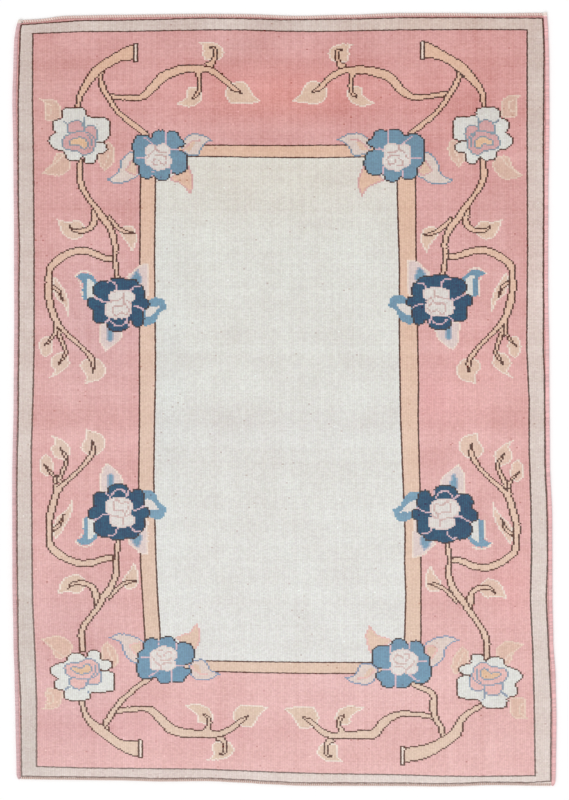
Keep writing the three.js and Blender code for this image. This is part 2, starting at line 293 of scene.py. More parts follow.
HOOK_INNER_GAP = [(-102, -6), (-71, -9), (-66, -31), (-83, -28)]
PALE_UPPER = [(-75, 100), (-52, 95), (-36, 80), (-23, 62), (-68, 9), (-74, 58)]
PALE_UPPER_WEDGE = [(-48, 85), (-60, 56), (-38, 46), (-30, 62), (-40, 78)]
PALE_LOWER = [(31, -118), (12, -104), (-6, -88), (-11, -70), (-11, -54), (43, -50), (46, -75), (44, -98)]
PALE_LOWER_WEDGE = [(13, -56), (11, -74), (15, -92), (26, -92), (29, -74), (27, -56)]

LINE_WIDTH = 3.9  # of a drawn line one knot wide, in mm
LINE_ACROSS = 4.1  # width in mm of the long upright lines
LINE_UPWARDS = 3.3  # and of the long lines across
VINE_OUTLINE = 0.85  # knots by which a vine's outline widens it
EDGE_ROOM = 0.2  # mm between the panel's side and the line nearest to it
EDGE_ROUND = 1.4  # mm over which the panel's side rounds into its faces
LOOSE = 0.6  # mm by which a knot's corner may lie out of true
LOOSE_SEED = 5
SETTLINGS = 4  # rounds in which the columns settle along the rows and the rows along the columns
CURVE_STEPS = 6  # steps of a soft line from one of its points to the next
# How square a petal is: 2 is an oval, and more has fuller corners
USUAL, CORNER_PETAL, SQUARE, ROUND, POINTED = 2.6, 2.3, 3.6, 1.9, 1.6
LANDMARK_REACH = 6  # mm within which a landmark alone sets the shift


def panel_edges():
    """The knotted panel's outline in mm as four edges, each a list of points between two corners."""
    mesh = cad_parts["knotted_panel"].data
    points = np.array([v.co for v in mesh.vertices]) / MM
    middle = points[:, 2].max() / 2
    wall = points[abs(points[:, 2] - middle) < middle - EDGE_ROUND][:, :2]
    wall = np.unique(wall.round(2), axis=0)
    loop = wall[np.argsort(np.arctan2(wall[:, 1], wall[:, 0]))]
    corners = [int(np.argmax(loop @ way)) for way in ((-1, -1), (1, -1), (1, 1), (-1, 1))]
    loop = np.roll(loop, -corners[0], 0)
    stops = [(c - corners[0]) % len(loop) for c in corners] + [len(loop)]
    loop = np.vstack([loop, loop[:1]])
    names = ("lower", "right", "upper", "left")
    return {n: loop[a:b + 1] for n, a, b in zip(names, stops, stops[1:])}


def follow(points, along, at):
    """Where a line lies at a place along it. along is 0 for a line that runs across, 1 for one that
    runs up."""
    points = np.array(points, float)
    order = np.argsort(points[:, along])
    return np.interp(at, points[order, along], points[order, 1 - along])


def spread(stops, number):
    """Places spread evenly between stops, each of which is (number, place)."""
    place = np.zeros(np.broadcast_shapes(number.shape, stops[0][1].shape))
    for (first, low), (last, high) in zip(stops, stops[1:]):
        share = (number - first) / (last - first)
        place = np.where((share >= 0) & (share <= 1), low + (high - low) * share, place)
    return place


def lines_across(names, numbers, at, sides, width):
    """Where the sides of each line lie, as stops, between the panel's own sides. No line comes closer
    to them than EDGE_ROOM."""
    room = EDGE_ROOM + width / 2
    stops = [(0, sides[0])]
    for name, number in zip(names, numbers):
        middle = np.interp(at, *np.array(LINES[name], float).T)
        middle = np.clip(middle, sides[0] + room, sides[1] - room)
        stops += [(number, middle - width / 2), (number + 1, middle + width / 2)]
    return stops


def weave(edges, inset):
    """Where the corners of all knots lie in mm: X and Y, by row and column."""
    columns = np.arange(COLUMNS + 1)[None, :]
    rows = np.arange(ROWS + 1)[:, None]
    x, y = np.zeros((2, ROWS + 1, COLUMNS + 1))
    line_columns = EDGE_LEFT, BAND_LEFT, *FRAME_LEFT, *FRAME_RIGHT, BAND_RIGHT, EDGE_RIGHT
    line_rows = EDGE_LOWER, BAND_LOWER, *FRAME_LOWER, *FRAME_UPPER, BAND_UPPER, EDGE_UPPER
    outwards = "inner", "outer", "band", "edge"
    for _ in range(SETTLINGS):
        sides = follow(edges["left"], 1, y) + inset, follow(edges["right"], 1, y) - inset
        ends = follow(edges["lower"], 0, x) + inset, follow(edges["upper"], 0, x) - inset
        names = [f"left {line}" for line in outwards[::-1]] + [f"right {line}" for line in outwards]
        across = lines_across(names, line_columns, y, sides, LINE_ACROSS)
        names = [f"lower {line}" for line in outwards[::-1]] + [f"upper {line}" for line in outwards]
        upwards = lines_across(names, line_rows, x, ends, LINE_UPWARDS)
        across.append((COLUMNS, sides[1]))
        upwards.append((ROWS, ends[1]))
        x, y = spread(across, columns), spread(upwards, rows)
    slip = np.random.default_rng(LOOSE_SEED).uniform(-LOOSE, LOOSE, (2, *x.shape))
    inner = slice(1, -1)
    x[inner, inner] += slip[0, inner, inner]
    y[inner, inner] += slip[1, inner, inner]
    return x, y


def smooth(points, closed=False):
    """A soft line through the points. A closed one keeps its first point sharp."""
    p = np.array(points, float)
    if closed:
        p = np.vstack([p, p[:1]])
    ends = np.vstack([2 * p[0] - p[1], p, 2 * p[-1] - p[-2]])
    t = np.linspace(0, 1, CURVE_STEPS, endpoint=False)[:, None]
    parts = []
    for a, b, c, d in zip(ends, ends[1:], ends[2:], ends[3:]):
        bend = (2 * a - 5 * b + 4 * c - d) * t**2 + (3 * b - a - 3 * c + d) * t**3
        parts.append(b + 0.5 * ((c - a) * t + bend))
    return np.vstack(parts + [p[-1:]])


def rim(mask):
    """The knots of a shape that have a neighbour outside it."""
    padded = np.pad(mask, 1)
    inner = padded[2:, 1:-1] & padded[:-2, 1:-1] & padded[1:-1, 2:] & padded[1:-1, :-2]
    return mask & ~inner


class Corner:
    """One quarter of the rug, drawn in mm out and up from the rug's middle."""

    def __init__(self, number, wool, out, up):
        self.number = number
        self.wool = wool
        self.out = out
        self.up = up

    def moved(self, points):
        """The chart's points, shifted as the landmarks near them are in this corner."""
        points = np.array(points, float)
        drawn = np.array([mark[DRAWN] for mark in LANDMARKS.values()], float)
        shift = np.array([mark[self.number] for mark in LANDMARKS.values()], float) - drawn
        gap = np.hypot(points[:, None, 0] - drawn[:, 0], points[:, None, 1] - drawn[:, 1])
        weight = 1 / (gap + LANDMARK_REACH) ** 3
        points[:, :2] += (weight[:, :, None] * shift).sum(1) / weight.sum(1)[:, None]
        return points

    def rose(self, name, points):
        """Points given from a rose's middle, at that rose's place and size in this corner."""
        out, up, width, height = ROSES[name][self.number]
        drawn = ROSES[name][DRAWN]
        scale = np.array([width / drawn[2], height / drawn[3]])
        points = np.array(points, float)
        points[:, :2] = points[:, :2] * scale + (out, up)
        if points.shape[1] == 4:
            points[:, 2:] *= scale
        return points

    def inside(self, outline):
        """The knots inside a closed outline."""
        mask = np.zeros(self.out.shape, bool)
        for (x1, y1), (x2, y2) in zip(outline, np.roll(outline, -1, 0)):
            if y1 != y2:
                crossed = (self.up < y1) != (self.up < y2)
                mask ^= crossed & (self.out < x1 + (x2 - x1) * (self.up - y1) / (y2 - y1))
        return mask

    def along(self, line):
        """The knots within half a width of a line of (out, up, width), which starts square."""
        mask = np.zeros(self.out.shape, bool)
        for a, b in zip(line, line[1:]):
            reach = max(a[2], b[2])
            low, high = np.minimum(a, b)[:2] - reach, np.maximum(a, b)[:2] + reach
            near = (self.out > low[0]) & (self.out < high[0]) & (self.up > low[1]) & (self.up < high[1])
            x, y = self.out[near] - a[0], self.up[near] - a[1]
            dx, dy = b[:2] - a[:2]
            t = np.clip((x * dx + y * dy) / (dx * dx + dy * dy), 0, 1)
            off = np.hypot(x - t * dx, y - t * dy)
            mask[near] |= off < (a[2] + (b[2] - a[2]) * t) / 2
        behind = (self.out - line[0][0]) * (line[1][0] - line[0][0])
        behind += (self.up - line[0][1]) * (line[1][1] - line[0][1])
        close = np.hypot(self.out - line[0][0], self.up - line[0][1]) < line[0][2]
        return mask & ~((behind < 0) & close)

    def petals(self, name, *groups):
        """The knots inside any of a rose's petals, given in groups, each with how square they are."""
        mask = np.zeros(self.out.shape, bool)
        for petals, square in groups:
            for x, y, a, b in self.rose(name, petals):
                mask |= (abs(self.out - x) / a) ** square + (abs(self.up - y) / b) ** square < 1
        return mask

    def tie(self, mask, fill, edge):
        """Ties the knots of a shape, and its rim in another wool."""
        self.wool[mask] = WOOL[fill]
        self.wool[rim(mask)] = WOOL[edge]

    def thread(self, points, wool):
        """A line one knot wide."""
        line = smooth(points)
        self.wool[self.along(np.column_stack([line, np.full(len(line), LINE_WIDTH)]))] = WOOL[wool]

    def vine(self, *routes, settled=False):
        """Vines that run into each other, with one outline round them all. Settled ones are given as
        they lie in this corner."""
        mask = np.zeros(self.out.shape, bool)
        for route in routes:
            line = smooth(route if settled else self.moved(route))
            line[:, 2] = np.maximum(line[:, 2], 0) + KNOT_WIDTH * VINE_OUTLINE
            mask |= self.along(line)
        self.tie(mask, "peach", "brown")

    def leaf(self, points, fill, edge):
        self.tie(self.inside(smooth(points, closed=True)[:, :2]), fill, edge)

    def leaves(self, name, *leaves):
        """Leaves and other shapes of a rose: each its outline, its wool and its edge's wool."""
        for outline, fill, edge in leaves:
            self.leaf(self.rose(name, outline), fill, edge)

    def threads(self, name, lines, wool):
        """Lines one knot wide in a rose."""
        for line in lines:
            self.thread(self.rose(name, line), wool)


def draw_vines(corner):
    for outline in LEAVES.values():
        corner.leaf(corner.moved(outline), "tan", "cream")
    for outline, mark in FAINT_LEAVES:
        corner.leaf(corner.moved(outline), "faint", "straw")
        corner.thread(corner.moved(mark), "straw")
    corner.vine(LOOP_TWIG)
    corner.vine(LOOP, OUTER_TWIG, MIDDLE_TWIG)
    for line in TWIG_CREASES:
        corner.thread(corner.moved(line), "brown")
    corner.vine(FIRST_SIDE_TWIG)
    corner.vine(SECOND_SIDE_TWIG)
    corner.vine(STEM)
    corner.vine(UPPER_TWIG)
    corner.vine(ARM, HANGING_TWIG)
    own_way = corner.number == OWN_WAY
    corner.vine(OWN_SHOOT if own_way else SHOOT, settled=own_way)
    corner.vine(OWN_BOUGH if own_way else BOUGH, settled=own_way)
    corner.tie(corner.inside(corner.moved(CUT_END)), "cream", "brown")


def draw_white_rose(corner):
    petals = corner.petals("white", (WHITE_PETALS, USUAL), (WHITE_SQUARE, SQUARE), (WHITE_POINTED, POINTED))
    corner.tie(petals, "white", "brown")
    corner.threads("white", [WHITE_NOTCH], "brown")
    corner.leaves("white", (HEART_SIDE, "rose", "ash"), (HEART_UPPER, "rose", "ash"),
                  (HEART_OUTER, "rose", "ash"), (HEART_CORE, "apricot", "ash"))
    corner.threads("white", [HEART_RING, *HEART_VEINS], "ash")


def draw_corner_rose(corner):
    corner.leaves("corner", (OUTER_LEAF, "blush", "slate"), (OUTER_LEAF_PATCH, "tan", "rose"),
                  (END_LEAF, "blush", "slate"), (END_LEAF_PATCH, "tan", "tan"))
    corner.threads("corner", [END_LEAF_VEIN], "rose")
    corner.leaves("corner", (FIELD_LEAF, "peach", "rose"))
    corner.tie(corner.petals("corner", (CORNER_PETALS, CORNER_PETAL)), "blue", "ink")
    corner.threads("corner", CORNER_DIVIDERS, "mauve")
    corner.tie(corner.petals("corner", (CORNER_CENTRE, ROUND)), "petal", "lilac")
    corner.threads("corner", CORNER_SWIRL, "vein")


def draw_navy_rose(corner):
    corner.leaves("navy", (PALE_UPPER, "lilac", "cream"), (PALE_UPPER_WEDGE, "sky", "haze"),
                  (PALE_LOWER, "lilac", "cream"), (PALE_LOWER_WEDGE, "sky", "haze"),
                  (HOOK_OUTER, "sky", "sky"), (HOOK_OUTER_GAP, "white", "white"))
    corner.threads("navy", HOOK_OUTER_LIGHT, "cream")
    corner.leaves("navy", (HOOK_INNER, "sky", "sky"), (HOOK_INNER_GAP, "petal", "petal"))
    corner.tie(corner.petals("navy", (NAVY_PETALS, USUAL), (NAVY_ROUND, ROUND)), "navy", "ink")
    corner.threads("navy", NAVY_DIVIDERS, "mauve")
    corner.tie(corner.petals("navy", (NAVY_CENTRE, USUAL)), "petal", "lilac")
    corner.threads("navy", NAVY_SWIRL, "vein")


def block(wool, rows, columns, name):
    """Ties a block of knots; rows and columns are (first, last)."""
    wool[rows[0]:rows[1] + 1, columns[0]:columns[1] + 1] = WOOL[name]


def draw_ground(wool):
    """The plain band, the pink border, the peach frame and the ivory field, each inside the last."""
    block(wool, (0, ROWS - 1), (0, COLUMNS - 1), "pink")
    block(wool, (0, EDGE_LOWER - 1), (EDGE_LEFT, EDGE_RIGHT), "beige")
    block(wool, (EDGE_LOWER, EDGE_UPPER), (EDGE_LEFT, EDGE_RIGHT), "umber")
    block(wool, (EDGE_LOWER + 1, EDGE_UPPER - 1), (EDGE_LEFT + 1, EDGE_RIGHT - 1), "beige")
    block(wool, (BAND_LOWER, BAND_UPPER), (BAND_LEFT, BAND_RIGHT), "umber")
    block(wool, (BAND_LOWER + 1, BAND_UPPER - 1), (BAND_LEFT + 1, BAND_RIGHT - 1), "pink")
    outer = (FRAME_LOWER[0], FRAME_UPPER[1]), (FRAME_LEFT[0], FRAME_RIGHT[1])
    inner = (FRAME_LOWER[1], FRAME_UPPER[0]), (FRAME_LEFT[1], FRAME_RIGHT[0])
    for (rows, columns), name in ((outer, "peach"), (inner, "ivory")):
        block(wool, rows, columns, "brown")
        block(wool, (rows[0] + 1, rows[1] - 1), (columns[0] + 1, columns[1] - 1), name)


def draw_chart(x, y):
    """The wool of every knot."""
    wool = np.zeros((ROWS, COLUMNS), int)
    draw_ground(wool)
    middle_x = (x[1:, 1:] + x[:-1, :-1]) / 2
    middle_y = (y[1:, 1:] + y[:-1, :-1]) / 2
    middle_row = int((middle_y[:, 0] < 0).sum())
    middle_column = int((middle_x[0] < 0).sum())
    for number in range(4):
        rows = slice(middle_row, None) if number < 2 else slice(0, middle_row)
        columns = slice(middle_column, None) if number % 2 == 0 else slice(0, middle_column)
        corner = Corner(number, wool[rows, columns], abs(middle_x[rows, columns]),
                        abs(middle_y[rows, columns]))
        draw_vines(corner)
        draw_white_rose(corner)
        draw_corner_rose(corner)
        draw_navy_rose(corner)
    return wool


# The pile's mesh: patches of equal knots on top, coarser ones underneath, and a rounded rim between
PATCH = 8  # most knots in a patch each way
OUTLINE_PATCH = 1  # and in a patch of an outline's wool, where every loose knot shows
BACK_STEP = 2  # knots each way that show as one on the underside
RIM_INSET = 0.4  # mm from the panel's side to the outermost line of knots
SIDE_DROP, END_DROP = 0.9, 2.2  # mm by which the pile falls off at its sides and its ends
RIM_REACH = 8  # mm over which it does
WALL_HEIGHTS = (0.6, 0.18)  # shares of the thickness where the side is upright
SWELL = 0.45  # mm by which the pile rises and falls over the rug
SWELLS = ((3.1, 1.7), (-1.9, 4.3), (5.7, -2.9), (7.3, 6.1))  # waves across and along, per metre


def patches(wool, size):
    """Patches of equal knots, as (row, column, end row, end column). None crosses the size grid."""
    kinds = wool.tolist()
    outlines = WOOL["umber"], WOOL["brown"]
    rows, columns = wool.shape
    taken = [[False] * columns for _ in range(rows)]
    found = []
    for row in range(rows):
        for column in range(columns):
            if taken[row][column]:
                continue
            kind = kinds[row][column]
            most = OUTLINE_PATCH if kind in outlines else size
            right, right_most = column + 1, min(columns, column - column % most + most)
            while right < right_most and kinds[row][right] == kind and not taken[row][right]:
                right += 1
            top, top_most = row + 1, min(rows, row - row % most + most)
            while top < top_most and all(kinds[top][c] == kind for c in range(column, right)):
                top += 1
            for r in range(row, top):
                taken[r][column:right] = [True] * (right - column)
            found.append((row, column, top, right))
    return found


def coarse(wool, step):
    """The chart with several knots as one, each block in its rarest wool, so that lines stay whole."""
    rows, columns = (-(-size // step) for size in wool.shape)
    padded = np.pad(wool, ((0, rows * step - wool.shape[0]), (0, columns * step - wool.shape[1])), "edge")
    rarity = np.bincount(wool.ravel(), minlength=len(WOOLS))
    blocks = padded.reshape(rows, step, columns, step).swapaxes(1, 2).reshape(rows, columns, -1)
    rarest = rarity[blocks].argmin(2)
    return np.take_along_axis(blocks, rarest[:, :, None], 2)[:, :, 0]


def rim_points():
    """The lattice points round the outside, anticlockwise from the lower left corner."""
    lower = [(0, c) for c in range(COLUMNS)]
    right = [(r, COLUMNS) for r in range(ROWS)]
    upper = [(ROWS, c) for c in range(COLUMNS, 0, -1)]
    left = [(r, 0) for r in range(ROWS, 0, -1)]
    return lower + right + upper + left


def outward(row, column):
    """Which way is out of the rug at a point of the rim: (across, along)."""
    return (column == COLUMNS) - (column == 0), (row == ROWS) - (row == 0)


def borders(found, used):
    """Each patch's border, anticlockwise, through all the lattice points in use."""
    for row, column, top, right in found:
        walk = [(row, c) for c in range(column, right)]
        walk += [(r, right) for r in range(row, top)]
        walk += [(top, c) for c in range(right, column, -1)]
        walk += [(r, column) for r in range(top, row, -1)]
        yield [p for p in walk if used[p]]


def pile_height(x, y):
    """How high the pile stands in mm at a place, away from the rim: soft swells, no more than SWELL."""
    swell = sum(np.sin(a * x * MM + b * y * MM + a * b) for a, b in SWELLS) / len(SWELLS)
    return THICKNESS + SWELL * (swell - 1) / 2


class Cloth:
    """The faces of the knotted cloth, with the chart's row and column at each face corner."""

    def __init__(self):
        self.points = []
        self.faces = []
        self.chart = []
        self.wools = []
        self.back = []

    def add_points(self, points):
        first = sum(len(p) for p in self.points)
        self.points.append(np.array(points, float))
        return first

    def add_face(self, vertices, places, wool, back=False):
        self.faces.append(vertices)
        self.chart.extend(places)
        self.wools.append(wool)
        self.back.append(back)


def cloth_side(cloth, wool, found, used, heights, x, y, back):
    """One side of the cloth. Returns the number of each lattice point's vertex."""
    rows, columns = np.nonzero(used)
    numbers = np.full(used.shape, -1)
    first = cloth.add_points(np.column_stack([x[used], y[used], heights[used]]))
    numbers[used] = first + np.arange(len(rows))
    for (row, column, *_), border in zip(found, borders(found, used)):
        if back:
            border = border[::-1]
        cloth.add_face([int(numbers[p]) for p in border], border, wool[row, column], back)
    return numbers


def cloth_rim(cloth, wool, used, top, bottom, x, y):
    """The upright side of the cloth, between the rims of its two faces."""
    loop = [p for p in rim_points() if used[p]]
    rings = [[int(top[p]) for p in loop]]
    for share in WALL_HEIGHTS:
        places = []
        for p in loop:
            out = outward(*p)
            places.append((x[p] + out[0] * RIM_INSET, y[p] + out[1] * RIM_INSET, share * THICKNESS))
        first = cloth.add_points(places)
        rings.append(list(range(first, first + len(loop))))
    rings.append([int(bottom[p]) for p in loop])
    for depth, (high, low) in enumerate(zip(rings, rings[1:])):
        for i, place in enumerate(loop):
            j = (i + 1) % len(loop)
            knot = min(place[0], loop[j][0], ROWS - 1), min(place[1], loop[j][1], COLUMNS - 1)
            corners = [(loop[i], depth), (loop[i], depth + 1), (loop[j], depth + 1), (loop[j], depth)]
            chart = [(p[0] + outward(*p)[1] * d, p[1] + outward(*p)[0] * d) for p, d in corners]
            cloth.add_face([high[i], low[i], low[j], high[j]], chart, wool[knot])


def knotted_cloth(wool, x, y):
    """The whole knotted cloth as points, faces and what the chart says of them."""
    found = patches(wool, PATCH)
    back_wool = coarse(wool, BACK_STEP)
    back_found = [
        (r * BACK_STEP, c * BACK_STEP, min(t * BACK_STEP, ROWS), min(e * BACK_STEP, COLUMNS))
        for r, c, t, e in patches(back_wool, PATCH)
    ]
    used, back_used = np.zeros((2, ROWS + 1, COLUMNS + 1), bool)
    for chosen, marks in ((found, used), (back_found, back_used)):
        for row, column, top, right in chosen:
            for p in ((row, column), (row, right), (top, column), (top, right)):
                marks[p] = True
    for p in rim_points():
        used[p] = back_used[p] = used[p] or back_used[p]
    from_sides = np.minimum(x - x[:, :1], x[:, -1:] - x)
    from_ends = np.minimum(y - y[:1], y[-1:] - y)
    side_fall = np.clip(1 - from_sides / RIM_REACH, 0, 1) ** 2 * SIDE_DROP
    end_fall = np.clip(1 - from_ends / RIM_REACH, 0, 1) ** 2 * END_DROP
    heights = pile_height(x, y) - np.maximum(side_fall, end_fall)
    cloth = Cloth()
    top = cloth_side(cloth, wool, found, used, heights, x, y, back=False)
    spread_back = np.repeat(np.repeat(back_wool, BACK_STEP, 0), BACK_STEP, 1)
    bottom = cloth_side(cloth, spread_back, back_found, back_used, np.zeros_like(x), x, y, back=True)
    cloth_rim(cloth, wool, used, top, bottom, x, y)
    return cloth


def linear(colour):
    """A colour given as 0 to 255 on the usual screen curve, as the light that it reflects."""
    share = np.array(colour, float) / 255
    return np.where(share <= 0.04045, share / 12.92, ((share + 0.055) / 1.055) ** 2.4)


def knot_colours(wools, x, y):
    """The colour, as 0 to 255, of the wool tied at each place, paler towards the rug's lower end."""
    upper = np.array([pair[0] for pair in WOOLS.values()], float)[wools]
    lower = np.array([pair[1] for pair in WOOLS.values()], float)[wools]
    share = (y - y.min()) / np.ptp(y)
    colour = lower + (upper - lower) * share[:, None]
    for name, washes in WASHES.items():
        tied = wools == WOOL[name]
        for middle_x, middle_y, reach_x, reach_y, *change in washes:
            strength = np.exp(-((x - middle_x) / reach_x) ** 2 - ((y - middle_y) / reach_y) ** 2) * tied
            colour += strength[:, None] * change
    return colour


# How the two sides of the cloth lie on the map that its finish is baked to, as shares of the map
FACE_LENGTH, BACK_LENGTH = 0.97, 0.4
FACE_LEFT, BACK_LEFT = 0.012, 0.715
MAP_BOTTOM = 0.015


def set_map(mesh, name, places):
    layer = mesh.uv_layers.new(name=name)
    layer.data.foreach_set("uv", places.astype(np.float32).ravel())


def paint_cloth(mesh, cloth):
    """Gives the mesh its wools, its place on the chart and the map that its finish is baked to."""
    sizes = [len(face) for face in cloth.faces]
    corner_wool = np.repeat(cloth.wools, sizes)
    corner_back = np.repeat(cloth.back, sizes)
    row, column = np.array(cloth.chart, float).T
    x, y, _ = np.vstack(cloth.points)[np.concatenate(cloth.faces)].T
    uneven = np.array([UNEVEN.get(name, UNEVEN_USUAL) for name in WOOLS])[corner_wool]
    uneven = uneven * np.interp(y, (y.min(), y.max()), UNEVEN_FADE)
    wool = mesh.color_attributes.new(name="wool", type="FLOAT_COLOR", domain="CORNER")
    colour = np.column_stack([linear(knot_colours(corner_wool, x, y)), uneven])
    wool.data.foreach_set("color", colour.astype(np.float32).ravel())
    set_map(mesh, "knots", np.column_stack([column, row]))
    scale = np.where(corner_back, BACK_LENGTH, FACE_LENGTH) / ROWS
    across = column * KNOT_WIDTH / KNOT_HEIGHT * scale + np.where(corner_back, BACK_LEFT, FACE_LEFT)
    set_map(mesh, "OFBake", np.column_stack([across, row * scale + MAP_BOTTOM]))


def new_piece(name, mesh, *nodes, slot):
    """Puts a finished mesh in the scene in place of the CAD nodes that it stands for."""
    piece = bpy.data.objects.new(name, mesh)
    bpy.context.scene.collection.objects.link(piece)
    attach(piece, "root")
    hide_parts(*nodes)
    return piece


class Graph:
    """A node tree, and short ways to add to it."""

    def __init__(self, tree):
        self.tree = tree

    def add(self, kind, inputs=(), **settings):
        """Adds a node. The inputs are a list in the order of its sockets, or a dict by their names."""
        node = self.tree.nodes.new(kind)
        for name, value in settings.items():
            setattr(node, name, value)
        for key, value in inputs.items() if isinstance(inputs, dict) else enumerate(inputs):
            self.feed(node.inputs[key], value)
        return node

    def feed(self, socket, value):
        if isinstance(value, bpy.types.Node):
            value = value.outputs[0]
        if isinstance(value, bpy.types.NodeSocket):
            self.tree.links.new(value, socket)
        else:
            socket.default_value = value

    def math(self, operation, *values):
        return self.add("ShaderNodeMath", values, operation=operation)

    def vector(self, operation, *values):
        return self.add("ShaderNodeVectorMath", values, operation=operation)

    def total(self, first, *rest):
        for value in rest:
            first = self.math("ADD", first, value)
        return first

    def swing(self, noise, size):
        """A noise of 0 to 1 as a swing about 0, size wide."""
        return self.math("MULTIPLY", self.math("SUBTRACT", noise, 0.5), size)

    def noise(self, kind, place=None, line=None):
        """A soft noise of 0 to 1, by a place or by a number along a line. kind is (scale, detail)."""
        inputs = {"Vector": place} if line is None else {"W": line}
        inputs.update(zip(("Scale", "Detail"), kind))
        return self.add("ShaderNodeTexNoise", inputs, noise_dimensions="3D" if line is None else "1D")

    def soft_swing(self, kind, place=None, line=None):
        """A soft noise as a swing about 0. kind is (scale, detail, size)."""
        return self.swing(self.noise(kind[:2], place, line), kind[2])

    def chance(self, place=None, line=None):
        """A number of 0 to 1 drawn for each place, or for each whole number along a line."""
        if line is None:
            return self.add("ShaderNodeTexWhiteNoise", {"Vector": place}, noise_dimensions="2D")
        return self.add("ShaderNodeTexWhiteNoise", {"W": self.math("FLOOR", line)}, noise_dimensions="1D")

    def scaled(self, vector, factor):
        return self.add("ShaderNodeVectorMath", {"Vector": vector, "Scale": factor}, operation="SCALE")

    def blend(self, share, first, second):
        """One colour turning into another as the share goes from 0 to 1."""
        node = self.add("ShaderNodeMix", {"Factor": share, 6: first, 7: second}, data_type="RGBA")
        return node.outputs[2]

    def relief(self, shader, height, strength, depth):
        """Shows a height as relief, in which a height of 1 is depth metres."""
        bump = self.add("ShaderNodeBump", {"Height": height, "Strength": strength, "Distance": depth})
        self.feed(shader.inputs["Normal"], bump)


WOOL_FINISH = {"Roughness": 0.95, "Specular IOR Level": 0.12, "Sheen Weight": 0.08, "Sheen Roughness": 0.6}


def wool_material(name):
    """A matte wool: returns the material, its graph and its shader."""
    material = bpy.data.materials.new(name)
    material.use_nodes = True
    material.node_tree.nodes.clear()
    graph = Graph(material.node_tree)
    shader = graph.add("ShaderNodeBsdfPrincipled", WOOL_FINISH)
    graph.add("ShaderNodeOutputMaterial", [shader])
    return material, graph, shader


# How far the pile's shade swings, as a share of it: by the knot, by the column, by the row, and, as painted
# shade, from the middle of a column to the darker groove at its sides
KNOT_SWING, COLUMN_SWING, ROW_SWING, PAINTED_GROOVE_SHADE = 0.10, 0.05, 0.04, 0.05
# Uneven dyeing as soft noises: scale, detail and swing
STREAK = 0.35, 3.0, 0.08  # along the warps, by the column
ABRASH = 0.055, 4.0, 0.14  # bands across the rug, by the row
MOTTLE = 9.0, 5.0, 0.28  # clouds, to the metre
YARN_END = 1.0, 1.0, 0.18  # dashes where a new end of yarn begins
DASHES = (0.23, 0.8, 0.0)  # dashes to the column and to the row
ODD_DRAW = 1.37  # sets the draw of odd knots apart from that of their shades
DARK_KNOTS = 0.9984, -0.22  # the knots drawn above this are darker, by this much
PALE_KNOTS = 0.0004, 0.16  # and those drawn below this are paler
HUE_SWING = 0.035  # of each knot's red, green and blue
DEEPER_TAKES = (-0.02, 0.27, 0.29)  # the red, green and blue that a deeper shade takes from any wool
TUFT_SQUARENESS = 0.5  # 1 is a round tuft, and less has a flatter top
UNEVEN_CUT = 0.35  # how far the shears leave one knot longer than the next, as a share of a tuft
FIBRE, FIBRE_HEIGHT = (900.0, 3.0), 0.5  # loose fibres: scale and detail, and how high they stand
PILE_RELIEF = 0.6, 0.6 * MM  # strength and depth


def pile_material():
    """Sheared wool pile: each knot its own shade, uneven dye lots, pale and dark streaks along the warps,
    painted shade in the grooves between the columns, and a soft tuft in relief for each knot."""
    material, g, shader = wool_material("knotted_wool_pile")
    wool = g.add("ShaderNodeAttribute", attribute_name="wool")
    place = g.add("ShaderNodeSeparateXYZ", [g.add("ShaderNodeUVMap", uv_map="knots")])
    column, row = place.outputs["X"], place.outputs["Y"]
    knot = g.add("ShaderNodeCombineXYZ", [g.math("FLOOR", column), g.math("FLOOR", row), 0.0])
    around = g.add("ShaderNodeTexCoord").outputs["Object"]
    each_knot = g.chance(knot)
    lot = g.total(g.swing(g.chance(line=column), COLUMN_SWING), g.swing(g.chance(line=row), ROW_SWING),
                  g.soft_swing(STREAK, line=column), g.soft_swing(ABRASH, line=row),
                  g.soft_swing(MOTTLE, around), g.soft_swing(YARN_END, g.vector("MULTIPLY", knot, DASHES)))
    # painted shade: each column darker at its sides, where it meets the next, and paler in its middle
    painted_groove_shade = g.math("MULTIPLY", g.math("COSINE", g.math("MULTIPLY", column, 2 * math.pi)), -PAINTED_GROOVE_SHADE)
    odd = g.chance(g.scaled(knot, ODD_DRAW))
    dark = g.math("MULTIPLY", g.math("GREATER_THAN", odd, DARK_KNOTS[0]), DARK_KNOTS[1])
    pale = g.math("MULTIPLY", g.math("LESS_THAN", odd, PALE_KNOTS[0]), PALE_KNOTS[1])
    shade = g.total(1.0, g.swing(each_knot, KNOT_SWING), painted_groove_shade, g.math("MULTIPLY", lot, wool.outputs["Alpha"]),
                    dark, pale)
    hue = g.vector("SUBTRACT", each_knot.outputs["Color"], (0.5, 0.5, 0.5))
    hue = g.vector("ADD", g.scaled(hue, HUE_SWING), (1.0, 1.0, 1.0))
    own = g.vector("MULTIPLY", wool.outputs["Color"], hue)
    taken = g.scaled(DEEPER_TAKES, g.math("SUBTRACT", shade, 1.0))
    g.feed(shader.inputs["Base Color"], g.vector("ADD", g.scaled(own, shade), taken))
    tuft_across = g.math("ABSOLUTE", g.math("SINE", g.math("MULTIPLY", column, math.pi)))
    tuft_along = g.math("ABSOLUTE", g.math("SINE", g.math("MULTIPLY", row, math.pi)))
    tuft = g.math("POWER", g.math("MULTIPLY", tuft_across, tuft_along), TUFT_SQUARENESS)
    fibre = g.math("MULTIPLY", g.noise(FIBRE, around), FIBRE_HEIGHT)
    height = g.total(tuft, g.math("MULTIPLY", each_knot, UNEVEN_CUT), fibre)
    g.relief(shader, height, *PILE_RELIEF)
    return material


def make_pile():
    """The knotted cloth, in place of the panel."""
    edges = panel_edges()
    x, y = weave(edges, RIM_INSET)
    cloth = knotted_cloth(draw_chart(x, y), x, y)
    mesh = bpy.data.meshes.new("pile")
    mesh.from_pydata((np.vstack(cloth.points) * MM).tolist(), [], cloth.faces)
    paint_cloth(mesh, cloth)
    mesh.materials.append(pile_material())
    mesh.shade_smooth()
    return new_piece("pile", mesh, "knotted_panel", slot="pile_wool")


